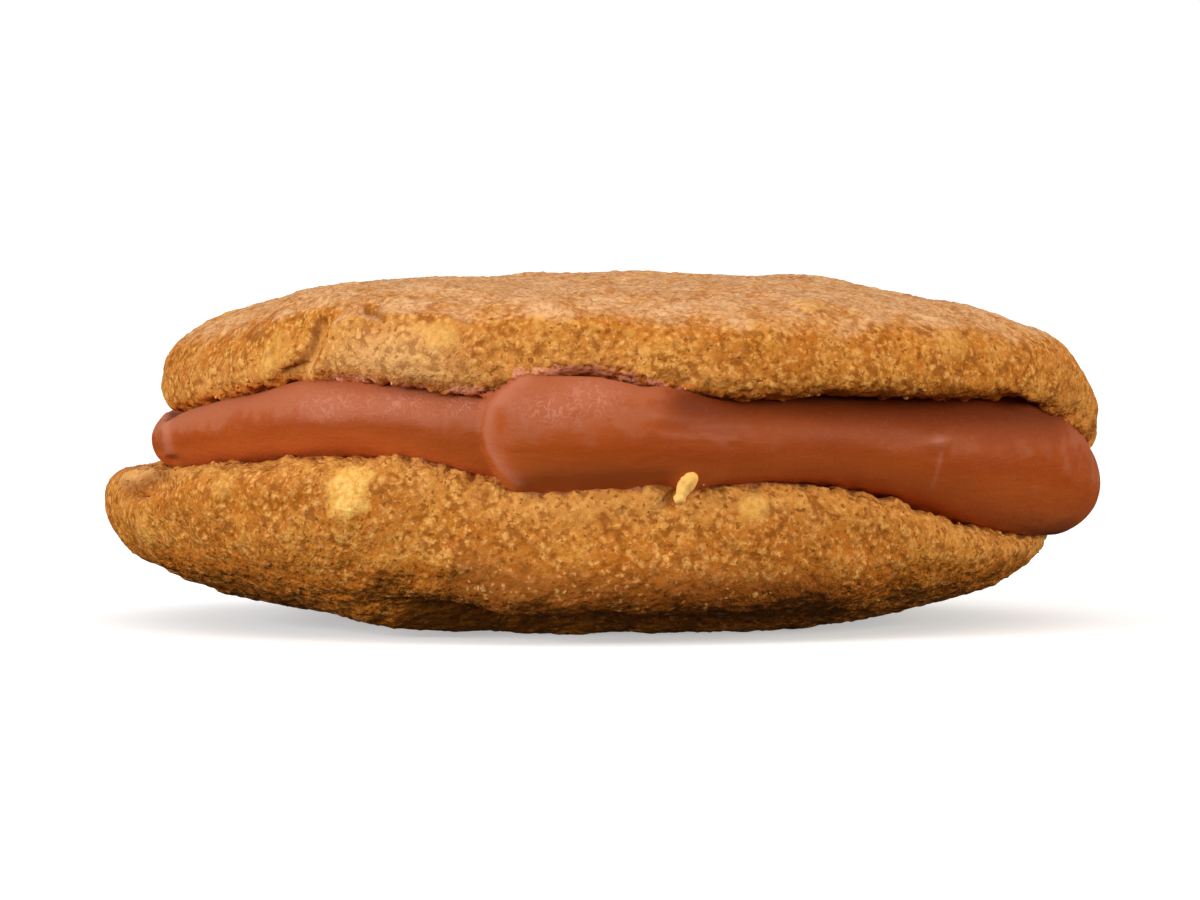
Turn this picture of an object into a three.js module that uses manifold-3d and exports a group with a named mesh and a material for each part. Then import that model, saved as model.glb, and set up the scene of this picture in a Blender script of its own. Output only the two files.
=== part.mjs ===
// Oatmeal cream pie: two soft oatmeal cookies, flat sides facing, with a piped ring of cream between them.
// Millimetres, +Z up. The pie stands on the crown of its lower cookie, and its front faces -Y.
// Bearings are degrees anticlockwise from +X, seen from above: 0 right, 90 back, 180 left, 270 front.
// A reach is a share of the way over a crown: 0 at its middle, 1 at the cookie's widest ring.

import * as THREE from "three";
import Module from "manifold-3d";
import { ParametricGeometry } from "three/addons/geometries/ParametricGeometry.js";
import { mergeVertices } from "three/addons/utils/BufferGeometryUtils.js";

// Driving dimensions
const COOKIE_RADIUS = 37.8; // a three-inch cookie
const COOKIE_OFFSET = 2.25; // the top cookie sits this far to the right, the bottom one this far to the left
const CLEARANCE = 0.3; // between the cream and the cookies

const TOP_COOKIE = {
  up: 1, // the way the crown faces
  centreX: COOKIE_OFFSET,
  crown: 27.6, // height of the crown's middle
  face: 17.6, // height of the flat side
  tilt: 0, // rise of the flat side's rim towards the left
  lip: 1.2, // from the flat side to the widest ring
  lipWaves: [],
  edge: 2.4, // how far in from the widest ring the edge rolls
  fullness: 2.5, // exponent of the crown's section, a superellipse
  fullnessWaves: [
    { at: 270, spread: 55, more: 1.4 }, // steep at the front
    { at: 0, spread: 35, more: -0.35 },
    { at: 180, spread: 35, more: -0.2 },
  ],
  faceWaves: [
    { at: 245, spread: 30, up: 2.9 }, // lifted by the thick cream at the front
    { at: 295, spread: 35, up: 1.4 },
    { at: 230, spread: 9, up: 0.6 }, // under the raised lobe
    { at: 251.5, spread: 7, up: -1.6 }, // droops on either side of the piped end
    { at: 281, spread: 8, up: -0.7 },
    { at: 266, spread: 6, up: 0.6 }, // lifted by it
    { at: 331, spread: 9, up: 0.7 },
    { at: 0, spread: 14, up: -3.2 }, // droops over the right-hand end
    { at: 191, spread: 12, up: -0.6 },
    { at: 110, spread: 25, up: 0.9 },
    { at: 62, spread: 16, up: -0.7 },
    { at: 150, spread: 14, up: -0.5 },
  ],
  outlineWaves: [
    { at: 318, spread: 25, out: 0.5 },
    { at: 75, spread: 20, out: -0.7 },
    { at: 128, spread: 18, out: 0.6 },
    { at: 205, spread: 12, out: -0.5 },
  ],
  lumps: [
    { bearing: 240, reach: 0.84, size: 6.5, height: 0.9 }, // raised lobe at the front left
    { bearing: 243, reach: 0.97, size: 5, height: 0.7 }, // its full lower edge
    { bearing: 226, reach: 0.93, size: 2.8, height: -1 }, // crease beside the lobe
    { bearing: 275, reach: 0.1, size: 7, height: 0.5 }, // swells along the crest
    { bearing: 10, reach: 0.32, size: 7, height: 0.55 },
    { bearing: 320, reach: 0.18, size: 4, height: -0.35 },
  ],
  frontFlakes: [
    { bearing: 246, reach: 0.8, turn: 15 },
    { bearing: 314, reach: 0.78, turn: 60 },
    { bearing: 222, reach: 0.85, turn: 100 },
  ],
  flakeReach: [0.1, 0.95], // where other flakes may lie
  lumpSeed: 11,
  flakeSeed: 77,
};

const BOTTOM_COOKIE = {
  up: -1,
  centreX: -COOKIE_OFFSET,
  crown: -0.6, // the crown is pressed flat where it would reach below the table
  face: 9.9,
  tilt: 2.6,
  lip: 2.1,
  lipWaves: [
    { at: 0, spread: 40, deeper: -1.2 }, // a thin right-hand end
  ],
  edge: 3,
  fullness: 2.2,
  fullnessWaves: [
    { at: 0, spread: 40, more: -0.25 },
    { at: 180, spread: 40, more: -0.12 },
    { at: 270, spread: 45, more: 1.3 },
  ],
  faceWaves: [
    { at: 270, spread: 45, up: 2.6 },
    { at: 240, spread: 18, up: 1.35 },
    { at: 217, spread: 12, up: 0.4 },
    { at: 253, spread: 6, up: 0.6 },
    { at: 264.5, spread: 6.5, up: -1.3 }, // pressed down under the piped end
    { at: 300, spread: 16, up: 1.8 },
    { at: 315, spread: 12, up: 0.8 },
    { at: 100, spread: 22, up: 0.8 },
    { at: 50, spread: 18, up: 0.6 },
  ],
  outlineWaves: [
    { at: 262, spread: 14, out: -0.5 },
    { at: 232, spread: 14, out: 0.5 },
    { at: 40, spread: 22, out: 0.6 },
    { at: 105, spread: 20, out: -0.6 },
    { at: 150, spread: 15, out: 0.4 },
  ],
  lumps: [
    { bearing: 241, reach: 0.56, size: 3.6, height: 1 }, // a foot under the front left
    { bearing: 262, reach: 0.79, size: 6, height: 1.1 }, // a full lower lip along the front
    { bearing: 276, reach: 0.79, size: 6, height: 1.1 },
    { bearing: 290, reach: 0.79, size: 6, height: 1.1 },
    { bearing: 304, reach: 0.79, size: 6, height: 1.1 },
    { bearing: 254, reach: 0.62, size: 4, height: -1.5 }, // hollow behind the lip
    { bearing: 265, reach: 0.55, size: 5.5, height: -1.5 },
    { bearing: 278, reach: 0.55, size: 5.5, height: -1.5 },
    { bearing: 289, reach: 0.56, size: 4, height: -1.1 },
    { bearing: 192, reach: 0.98, size: 3, height: -0.6 }, // dimple beside the left-hand tip
  ],
  frontFlakes: [
    { bearing: 243, reach: 0.96, turn: 40 },
    { bearing: 292, reach: 0.97, turn: 80 },
    { bearing: 223, reach: 0.94, turn: 10 },
  ],
  flakeReach: [0.62, 0.95], // none where it stands
  lumpSeed: 23,
  flakeSeed: 161,
};

const CREAM = {
  centreX: 1,
  radius: 37.5,
  nose: 3.8, // depth of the rounded outer edge
  noseWaves: [
    { at: 182, spread: 22, deeper: -2.4 }, // blunt at the left-hand end
    { at: 0, spread: 35, deeper: 1.2 },
  ],
  outlineWaves: [
    { at: 0, spread: 35, out: 1.6 }, // squeezed out at the right-hand end
    { at: 310, spread: 22, out: -1.2 }, // sits back under the top cookie
    { at: 228, spread: 18, out: 0.5 },
    { at: 273, spread: 12, out: 0.9 }, // thick behind the piped end
    { at: 188, spread: 3, out: -0.6 }, // seam at the left-hand end
    { at: 182, spread: 14, out: -0.6 },
    { at: 80, spread: 18, out: 0.7 },
    { at: 115, spread: 12, out: -1 },
    { at: 145, spread: 16, out: 0.6 },
  ],
  swells: [
    { at: 310, spread: 30, top: -0.3, bottom: 0.2 },
    { at: 0, spread: 18, top: 0, bottom: 0.6 },
    { at: 345, spread: 25, top: 2, bottom: 0 }, // fills the drooping right-hand end
    { at: 183, spread: 14, top: -1.2, bottom: 0 }, // low at the left-hand end
    { at: 270, spread: 12, top: 1.8, bottom: 0.5 },
    { at: 252, spread: 9, top: 0.3, bottom: 1.8 }, // pressed into the angle beside the piped end
    { at: 60, spread: 20, top: -0.4, bottom: 0.1 },
    { at: 130, spread: 25, top: 0.3, bottom: 0.3 },
  ],
};

// The rounded end of the piped ring, which laps over the ring's own start: a long egg bent along the ring.
const PIPED_END = {
  bearing: 263,
  nose: 6.6, // length of its blunt end, to the left
  tail: 15, // length of its thin end, to the right
  halfDepth: 5,
  halfHeight: 5.5,
  out: 2.2, // proud of the ring
  up: 0.4, // its middle, above the ring's
  room: 0.4, // kept clear of the cookies
  sides: 28,
  bands: 12,
};

const OAT_FLAKE = { length: 4.4, width: 3.2, thickness: 1.2, sunk: 0.28, sides: 8, bands: 3 };
const FLAKES_PER_COOKIE = 18;
const FLAKE_SPACING = 11; // least distance between two flakes' middles

// How finely the surfaces are faceted
const COOKIE_SECTORS = 96;
const CREAM_SECTORS = 104;
const CROWN_RINGS = 16;
const EDGE_RINGS = 4;
const FACE_RINGS = 2;
const NOSE_RINGS = 8;
const CREAM_FACE_RINGS = 2;

// Small swells that every baked crown has, strewn by chance
const STREWN_LUMPS = 120;
const STREWN_SIZE = [2.4, 5.5];
const STREWN_HEIGHT = [-0.42, 0.42];

const { degToRad, radToDeg, lerp, clamp } = THREE.MathUtils;
const QUARTER_TURN = Math.PI / 2;

// A repeatable stream of numbers from 0 to 1.
function chance(seed) {
  let state = seed;
  return () => {
    state = (state + 0x6d2b79f5) | 0;
    let mixed = Math.imul(state ^ (state >>> 15), 1 | state);
    mixed = (mixed + Math.imul(mixed ^ (mixed >>> 7), 61 | mixed)) ^ mixed;
    return ((mixed ^ (mixed >>> 14)) >>> 0) / 2 ** 32;
  };
}

// The turn from one bearing to another, between -180 and 180 degrees.
const turnTo = (from, to) => THREE.MathUtils.euclideanModulo(to - from + 180, 360) - 180;

// The sum of one property of waves strung round the pie, each a smooth hump about its own bearing.
function waves(list, bearing, property) {
  return list.reduce(
    (sum, wave) => sum + wave[property] * Math.exp(-((turnTo(wave.at, bearing) / wave.spread) ** 2)),
    0,
  );
}

// A crown's lumps lie on its skin unrolled to a flat disc, where distances are nearly true.
function onUnrolledCrown(cookie, bearing, reach) {
  const out = reach * (COOKIE_RADIUS + Math.abs(cookie.crown - cookie.face) / 2);
  return new THREE.Vector2(Math.cos(degToRad(bearing)), Math.sin(degToRad(bearing))).multiplyScalar(out);
}

function strewnLumps(seed) {
  const draw = chance(seed);
  return Array.from({ length: STREWN_LUMPS }, () => ({
    bearing: 360 * draw(),
    reach: Math.sqrt(draw()),
    size: lerp(...STREWN_SIZE, draw()),
    height: lerp(...STREWN_HEIGHT, draw()),
  }));
}

function withLumps(cookie) {
  const lumps = [...cookie.lumps, ...strewnLumps(cookie.lumpSeed)].map((lump) => ({
    ...lump,
    middle: onUnrolledCrown(cookie, lump.bearing, lump.reach),
  }));
  return { ...cookie, lumps };
}

const topCookie = withLumps(TOP_COOKIE);
const bottomCookie = withLumps(BOTTOM_COOKIE);

function lumpHeight(cookie, bearing, reach) {
  const here = onUnrolledCrown(cookie, bearing, reach);
  return cookie.lumps.reduce(
    (sum, { middle, size, height }) => sum + height * Math.exp(-here.distanceToSquared(middle) / size ** 2),
    0,
  );
}

// Radius of a cookie's widest ring.
function rimRadius(cookie, bearing) {
  return COOKIE_RADIUS + waves(cookie.outlineWaves, bearing, "out") + lumpHeight(cookie, bearing, 1);
}

// Height of a cookie's flat side. Its rim waves, and they fade towards the middle.
function faceHeight(cookie, bearing, share) {
  const rim = waves(cookie.faceWaves, bearing, "up") - cookie.tilt * Math.cos(degToRad(bearing));
  return cookie.face + rim * share ** 2;
}

const lipDepth = (cookie, bearing) => cookie.lip + waves(cookie.lipWaves, bearing, "deeper");

function rimHeight(cookie, bearing) {
  return faceHeight(cookie, bearing, 1) + cookie.up * lipDepth(cookie, bearing);
}

// A point of a cookie's crown: its radius and height. Lumps stand out along the skin's own slope.
function crownPoint(cookie, bearing, reach) {
  const across = Math.sin(QUARTER_TURN * reach);
  const fullness = cookie.fullness + waves(cookie.fullnessWaves, bearing, "more");
  const rise = (1 - across ** fullness) ** (1 / fullness);
  const lean = across ** 3;
  const facing = new THREE.Vector2(lean, cookie.up * Math.sqrt(1 - lean ** 2));
  const base = COOKIE_RADIUS + waves(cookie.outlineWaves, bearing, "out");
  const section = new THREE.Vector2(base * across, lerp(rimHeight(cookie, bearing), cookie.crown, rise));
  return section.addScaledVector(facing, lumpHeight(cookie, bearing, reach));
}

// The rolled edge between a cookie's widest ring (roll 0) and its flat side (roll 1).
function edgePoint(cookie, bearing, roll) {
  const angle = QUARTER_TURN * roll;
  const radius = rimRadius(cookie, bearing) - cookie.edge * (1 - Math.cos(angle));
  const height = rimHeight(cookie, bearing) - cookie.up * lipDepth(cookie, bearing) * Math.sin(angle);
  return new THREE.Vector2(radius, height);
}

function facePoint(cookie, bearing, share) {
  const radius = (rimRadius(cookie, bearing) - cookie.edge) * share;
  return new THREE.Vector2(radius, faceHeight(cookie, bearing, 1 - (1 - share) ** 2));
}

// A section of radius and height, turned to its bearing about a vertical axis at centreX.
function turned(section, bearing, centreX, target) {
  const angle = degToRad(bearing);
  return target.set(centreX + section.x * Math.cos(angle), section.x * Math.sin(angle), section.y);
}

// Height of a cookie's flat side and rolled edge over or under a place, with a gap. Null beyond the cookie.
function faceOver(cookie, x, y, gap) {
  const bearing = radToDeg(Math.atan2(y, x - cookie.centreX));
  const radius = Math.hypot(x - cookie.centreX, y);
  const rim = rimRadius(cookie, bearing) + gap;
  if (radius >= rim) return null;
  const share = clamp(radius / (rim - cookie.edge), 0, 1);
  const level = faceHeight(cookie, bearing, 1 - (1 - share) ** 2);
  const along = Math.max(0, (radius - (rim - cookie.edge)) / cookie.edge);
  const roll = lipDepth(cookie, bearing) * (1 - Math.sqrt(1 - along ** 2));
  return level + cookie.up * (roll - gap);
}

// A closed skin of rings, each given by a function of the bearing.
function skin(rings, sectors, centreX) {
  const surface = (u, v, target) => {
    const bearing = 360 * u;
    turned(rings[Math.round(v * (rings.length - 1))](bearing), bearing, centreX, target);
  };
  return new ParametricGeometry(surface, sectors, rings.length - 1);
}

// Steps from first to last, both included.
function steps(first, last, count) {
  return Array.from({ length: count + 1 }, (_, step) => lerp(first, last, step / count));
}

function pressedFlat(cookie, section) {
  return cookie.up < 0 ? section.setY(Math.max(section.y, 0)) : section;
}

function cookieSkin(cookie) {
  const crown = steps(0, 1, CROWN_RINGS).map(
    (reach) => (bearing) => pressedFlat(cookie, crownPoint(cookie, bearing, reach)),
  );
  const edge = steps(0, 1, EDGE_RINGS).slice(1).map((roll) => (bearing) => edgePoint(cookie, bearing, roll));
  const face = steps(1, 0, FACE_RINGS).slice(1).map((share) => (bearing) => facePoint(cookie, bearing, share));
  const rings = [...crown, ...edge, ...face];
  return skin(cookie.up > 0 ? rings.reverse() : rings, COOKIE_SECTORS, cookie.centreX);
}

// A height at a place, kept clear of the cookies above and below it.
function betweenCookies(x, y, height) {
  const highest = faceOver(topCookie, x, y, CLEARANCE) ?? Infinity;
  const lowest = faceOver(bottomCookie, x, y, CLEARANCE) ?? -Infinity;
  return clamp(height, lowest, highest);
}

// Half the cream's thickness at its edge, and the height of its middle.
function creamEdge(bearing) {
  const ceiling = faceHeight(topCookie, bearing, 1) - CLEARANCE;
  const floor = faceHeight(bottomCookie, bearing, 1) + CLEARANCE;
  return { half: (ceiling - floor) / 2, middle: (ceiling + floor) / 2 };
}

const creamRadius = (bearing) => CREAM.radius + waves(CREAM.outlineWaves, bearing, "out");

// A point of the cream's rounded outer edge. The level runs from 1 at the top to -1 at the foot.
function nosePoint(bearing, level) {
  const slope = QUARTER_TURN * level;
  const nose = CREAM.nose + waves(CREAM.noseWaves, bearing, "deeper");
  const radius = creamRadius(bearing) - nose * (1 - Math.cos(slope));
  const x = CREAM.centreX + radius * Math.cos(degToRad(bearing));
  const y = radius * Math.sin(degToRad(bearing));
  const { half, middle } = creamEdge(bearing);
  const reach = half + waves(CREAM.swells, bearing, level > 0 ? "top" : "bottom");
  return new THREE.Vector2(radius, betweenCookies(x, y, middle + reach * Math.sin(slope)));
}

// The cream between the cookies: it follows a cookie's flat side and meets the rounded edge.
function creamFacePoint(cookie, level, bearing, share) {
  const edge = nosePoint(bearing, level);
  const radius = edge.x * share;
  const x = CREAM.centreX + radius * Math.cos(degToRad(bearing));
  const y = radius * Math.sin(degToRad(bearing));
  return new THREE.Vector2(radius, faceOver(cookie, x, y, CLEARANCE));
}

function creamRing() {
  const shares = steps(1, 0, CREAM_FACE_RINGS).slice(1);
  const above = shares.map((share) => (bearing) => creamFacePoint(topCookie, 1, bearing, share));
  const below = shares.map((share) => (bearing) => creamFacePoint(bottomCookie, -1, bearing, share));
  const nose = steps(-1, 1, NOSE_RINGS).map((level) => (bearing) => nosePoint(bearing, level));
  return skin([...below.reverse(), ...nose, ...above], CREAM_SECTORS, CREAM.centreX);
}

// The egg starts as a ball. Its x runs along the ring, its y inwards and its z up.
function pipedEnd() {
  const egg = new THREE.SphereGeometry(1, PIPED_END.sides, PIPED_END.bands).rotateX(QUARTER_TURN);
  const axis = creamRadius(PIPED_END.bearing) + PIPED_END.out - PIPED_END.halfDepth;
  const points = egg.getAttribute("position");
  const point = new THREE.Vector3();
  for (let i = 0; i < points.count; i++) {
    point.fromBufferAttribute(points, i);
    const along = point.x * (point.x < 0 ? PIPED_END.nose : PIPED_END.tail);
    const bearing = PIPED_END.bearing + radToDeg(along / axis);
    const height = creamEdge(bearing).middle + PIPED_END.up + PIPED_END.halfHeight * point.z;
    const section = new THREE.Vector2(axis - PIPED_END.halfDepth * point.y, height);
    turned(section, bearing, CREAM.centreX, point);
    points.setXYZ(i, point.x, point.y, point.z);
  }
  return egg;
}

// A cookie grown by a gap all round, to cut room for itself out of the cream.
function grown(cookie, gap) {
  return {
    ...cookie,
    face: cookie.face - cookie.up * gap,
    crown: cookie.crown + cookie.up * gap,
    outlineWaves: [...cookie.outlineWaves, { at: 0, spread: Infinity, out: gap }],
  };
}

// Solids, joined where one is set into another
const wasm = await Module();
wasm.setup();

function solid(geometry) {
  const bare = new THREE.BufferGeometry().setAttribute("position", geometry.getAttribute("position"));
  bare.setIndex(geometry.index);
  const merged = mergeVertices(bare, 1e-3);
  return new wasm.Manifold(
    new wasm.Mesh({
      numProp: 3,
      vertProperties: merged.attributes.position.array,
      triVerts: new Uint32Array(merged.index.array),
    }),
  );
}

function geometryOf(manifold) {
  const { vertProperties, triVerts } = manifold.getMesh();
  const geometry = new THREE.BufferGeometry();
  geometry.setAttribute("position", new THREE.BufferAttribute(vertProperties, 3));
  geometry.setIndex(new THREE.BufferAttribute(triVerts, 1));
  geometry.computeVertexNormals();
  return geometry;
}

function placeOn(cookie, bearing, reach) {
  return turned(crownPoint(cookie, bearing, reach), bearing, cookie.centreX, new THREE.Vector3());
}

// The direction in which a crown's skin faces, averaged over a flake's width.
function facingOn(cookie, bearing, reach) {
  const round = radToDeg(OAT_FLAKE.width / 2 / COOKIE_RADIUS);
  const over = Math.min(OAT_FLAKE.width / 2 / COOKIE_RADIUS, 1 - reach);
  const along = placeOn(cookie, bearing + round, reach).sub(placeOn(cookie, bearing - round, reach));
  const outward = placeOn(cookie, bearing, reach + over).sub(placeOn(cookie, bearing, reach - over));
  return outward.cross(along).multiplyScalar(cookie.up).normalize();
}

// An oat flake half sunk in a crown, lying along the skin.
function flakeOn(cookie, { bearing, reach, turn }) {
  const outward = facingOn(cookie, bearing, reach);
  const middle = placeOn(cookie, bearing, reach).addScaledVector(outward, -OAT_FLAKE.sunk);
  const flake = new THREE.SphereGeometry(1, OAT_FLAKE.sides, OAT_FLAKE.bands);
  flake.rotateX(QUARTER_TURN);
  flake.scale(OAT_FLAKE.length / 2, OAT_FLAKE.width / 2, OAT_FLAKE.thickness / 2);
  flake.rotateZ(degToRad(turn));
  flake.applyQuaternion(new THREE.Quaternion().setFromUnitVectors(new THREE.Vector3(0, 0, 1), outward));
  return flake.translate(middle.x, middle.y, middle.z);
}

// Flakes spread over a crown: the ones that show at the front, then others by chance, none too close together.
function flakePlaces(cookie) {
  const draw = chance(cookie.flakeSeed);
  const places = [...cookie.frontFlakes];
  const spotOf = (place) => onUnrolledCrown(cookie, place.bearing, place.reach);
  while (places.length < FLAKES_PER_COOKIE) {
    const reach = lerp(...cookie.flakeReach, Math.sqrt(draw()));
    const place = { bearing: 360 * draw(), reach, turn: 180 * draw() };
    const spot = spotOf(place);
    if (places.every((other) => spotOf(other).distanceTo(spot) > FLAKE_SPACING)) places.push(place);
  }
  return places;
}

function bakedCookie(cookie) {
  const flakes = flakePlaces(cookie).map((place) => solid(flakeOn(cookie, place)));
  return geometryOf(wasm.Manifold.union([solid(cookieSkin(cookie)), ...flakes]));
}

// The piped end laps over the front of both lips, so the cookies are cut out of it.
function spreadCream() {
  const cut = [topCookie, bottomCookie].map((cookie) => solid(cookieSkin(grown(cookie, PIPED_END.room))));
  const end = cut.reduce((left, cookie) => left.subtract(cookie), solid(pipedEnd()));
  return geometryOf(solid(creamRing()).add(end));
}

function named(name, geometry, material) {
  const mesh = new THREE.Mesh(geometry, material);
  mesh.name = name;
  return mesh;
}

const crumb = new THREE.MeshStandardMaterial({ color: 0xc8873f, roughness: 0.85, metalness: 0 });
const cream = new THREE.MeshStandardMaterial({ color: 0xa55a34, roughness: 0.45, metalness: 0 });

const pie = new THREE.Group();
pie.add(
  named("top_cookie", bakedCookie(topCookie), crumb),
  named("cream_filling", spreadCream(), cream),
  named("bottom_cookie", bakedCookie(bottomCookie), crumb.clone()),
);

// The origin is on the table, under the middle of the whole pie.
const box = new THREE.Box3().setFromObject(pie);
const middle = box.getCenter(new THREE.Vector3());
pie.children.forEach((layer) => layer.position.set(-middle.x, -middle.y, -box.min.z));

export default pie;
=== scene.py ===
# %% [markdown]
# # An oatmeal cream pie
#
# Two soft oatmeal cookies are stuck together, flat sides facing, with a thick ring of brown cream.
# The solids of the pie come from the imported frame. This lesson dresses them: it gives the cookies
# their crumb, pits and oat flakes, gives the cream its piped end and smears, and lights the whole
# like a product photo. Every size is in metres, so most of them are written as so many millimetres.

import math
import random

import bpy
import numpy as np
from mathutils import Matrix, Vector
from mathutils.bvhtree import BVHTree


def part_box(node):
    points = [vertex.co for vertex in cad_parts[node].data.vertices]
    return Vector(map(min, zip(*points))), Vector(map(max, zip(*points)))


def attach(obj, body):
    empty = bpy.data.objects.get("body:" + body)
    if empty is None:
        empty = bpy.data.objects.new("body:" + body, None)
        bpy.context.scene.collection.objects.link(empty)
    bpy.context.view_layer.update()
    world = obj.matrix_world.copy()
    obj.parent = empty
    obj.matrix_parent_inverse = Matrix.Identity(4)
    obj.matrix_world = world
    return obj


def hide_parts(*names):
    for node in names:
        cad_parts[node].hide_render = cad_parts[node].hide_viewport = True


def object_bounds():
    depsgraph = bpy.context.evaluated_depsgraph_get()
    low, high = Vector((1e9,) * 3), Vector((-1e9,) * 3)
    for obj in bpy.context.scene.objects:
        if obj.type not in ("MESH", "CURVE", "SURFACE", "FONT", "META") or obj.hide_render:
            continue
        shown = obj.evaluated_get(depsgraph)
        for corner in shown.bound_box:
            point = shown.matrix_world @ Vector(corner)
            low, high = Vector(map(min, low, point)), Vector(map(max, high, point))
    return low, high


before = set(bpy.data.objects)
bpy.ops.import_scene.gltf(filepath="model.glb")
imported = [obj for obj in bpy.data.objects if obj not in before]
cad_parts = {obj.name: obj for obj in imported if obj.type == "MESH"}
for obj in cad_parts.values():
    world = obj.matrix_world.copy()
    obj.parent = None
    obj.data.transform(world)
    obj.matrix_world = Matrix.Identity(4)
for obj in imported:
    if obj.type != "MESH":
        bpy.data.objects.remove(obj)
CAD_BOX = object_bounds()
MM = 0.001
print("pie measures", [round(side / MM, 1) for side in CAD_BOX[1] - CAD_BOX[0]], "mm")

# %% [markdown]
# ## The camera
#
# The photo was taken from the front with a long lens, almost level with the table: the lower edges
# of both cookies show, and a little of the crown. A long lens keeps the rims nearly parallel, so the
# camera stands far off. The frame's width at the pie's middle sets the lens.

# %% Camera
PHOTO_WIDTH = 1200
PHOTO_HEIGHT = 900
FRAME_WIDTH = 96.9 * MM
PIXEL = FRAME_WIDTH / PHOTO_WIDTH
CAMERA_DISTANCE = 600 * MM
CAMERA_ELEVATION = math.radians(2)
AIM_DROP = 0.4 * MM

aim = (CAD_BOX[0] + CAD_BOX[1]) / 2 - Vector((0, 0, AIM_DROP))
right = Vector((1, 0, 0))
ahead = Vector((0, math.cos(CAMERA_ELEVATION), -math.sin(CAMERA_ELEVATION)))
above = right.cross(ahead)
eye = aim - CAMERA_DISTANCE * ahead
bpy.ops.object.camera_add(location=eye, rotation=(math.pi / 2 - CAMERA_ELEVATION, 0, 0))
camera = bpy.context.object
camera.data.sensor_width = 36
camera.data.lens = camera.data.sensor_width * CAMERA_DISTANCE / FRAME_WIDTH
camera.data.clip_start = 10 * MM
bpy.context.scene.camera = camera
print("lens", round(camera.data.lens), "mm")

# %% [markdown]
# ## Helpers for working by hand
#
# Most operators act on whatever is selected, so each step first picks the piece that it works on.
# A copy of a solid from the frame is made of loose triangles, so its doubles are merged before
# anything else. A modifier is added, set and applied at once, which leaves a plain mesh.


# %% Picking and modifying
def pick(*pieces):
    bpy.ops.object.select_all(action="DESELECT")
    for piece in pieces:
        piece.select_set(True)
    bpy.context.view_layer.objects.active = pieces[0]


def copy_of(node, name):
    piece = bpy.data.objects.new(name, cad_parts[node].data.copy())
    bpy.context.scene.collection.objects.link(piece)
    piece.data.materials.clear()
    pick(piece)
    bpy.ops.object.mode_set(mode="EDIT")
    bpy.ops.mesh.select_all(action="SELECT")
    bpy.ops.mesh.remove_doubles(threshold=0.001 * MM)
    bpy.ops.object.mode_set(mode="OBJECT")
    return piece


def modify(piece, kind, **settings):
    pick(piece)
    modifier = piece.modifiers.new(kind.lower(), kind)
    for name, value in settings.items():
        setattr(modifier, name, value)
    bpy.ops.object.modifier_apply(modifier=modifier.name)


# %% Reading and marking a mesh
def vertices_of(piece):
    flat = np.empty(len(piece.data.vertices) * 3)
    piece.data.vertices.foreach_get("co", flat)
    return flat.reshape(-1, 3)


def normals_of(piece):
    flat = np.empty(len(piece.data.vertices) * 3)
    piece.data.vertex_normals.foreach_get("vector", flat)
    return flat.reshape(-1, 3)


def smooth_step(value, low, high):
    share = np.clip((value - low) / (high - low), 0, 1)
    return share * share * (3 - 2 * share)


def set_attribute(piece, name, values):
    attribute = piece.data.attributes.new(name, "FLOAT", "POINT")
    attribute.data.foreach_set("value", np.asarray(values, dtype=np.float32))


def set_group(piece, name, weights):
    group = piece.vertex_groups.new(name=name)
    for index in np.nonzero(weights > 0.01)[0]:
        group.add([int(index)], float(weights[index]), "REPLACE")


def press(piece, name, weights, depth, direction="NORMAL"):
    """Push a piece's skin out, or in where the depth is negative, where the weights say."""
    set_group(piece, name, weights)
    modify(piece, "DISPLACE", strength=depth, mid_level=0, vertex_group=name, direction=direction)
    piece.vertex_groups.remove(piece.vertex_groups[name])


# %% [markdown]
# ## Working from the photo
#
# Small marks, such as a crease or a dent, are placed by the pixel at which the photo shows them. A
# ray from the camera through that pixel finds the place on a piece, and the other way round each
# vertex is seen at some pixel. Marks are soft spots and strokes of real size about those pixels,
# and only on the side of the piece that faces the camera.


# %% Pixels and places
FACING_FADE = (0.02, 0.2)
FRONT_RIM = (20 * MM, 28 * MM)


def seen_at(piece, pixel):
    """Where the camera sees a piece at a pixel of the photo, and the way its skin faces there."""
    across = (pixel[0] - PHOTO_WIDTH / 2) * PIXEL / CAMERA_DISTANCE
    up = (PHOTO_HEIGHT / 2 - pixel[1]) * PIXEL / CAMERA_DISTANCE
    _, place, facing, _ = piece.ray_cast(eye, (ahead + right * across + above * up).normalized())
    return place, facing


def photo_places(points):
    """The pixel of the photo at which the camera sees each point."""
    offset = points - np.array(eye)
    scale = CAMERA_DISTANCE / PIXEL / (offset @ np.array(ahead))
    columns = PHOTO_WIDTH / 2 + scale * (offset @ np.array(right))
    rows = PHOTO_HEIGHT / 2 - scale * (offset @ np.array(above))
    return np.stack([columns, rows], axis=1)


def in_front(piece):
    """1 where a piece faces the camera, fading to 0 where it turns away."""
    return smooth_step(-normals_of(piece) @ np.array(ahead), *FACING_FADE)


def at_front_rim(piece):
    """1 along the front rim of a piece, also where it turns away, and 0 behind it."""
    return smooth_step(-vertices_of(piece)[:, 1], *FRONT_RIM)


def spot(piece, pixel, half_width, half_height):
    """A soft oval spot, 1 at a pixel of the photo and fading away from it."""
    offset = (photo_places(vertices_of(piece)) - np.array(pixel)) * PIXEL
    share = (offset[:, 0] / half_width) ** 2 + (offset[:, 1] / half_height) ** 2
    return np.exp(-share) * in_front(piece)


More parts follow.
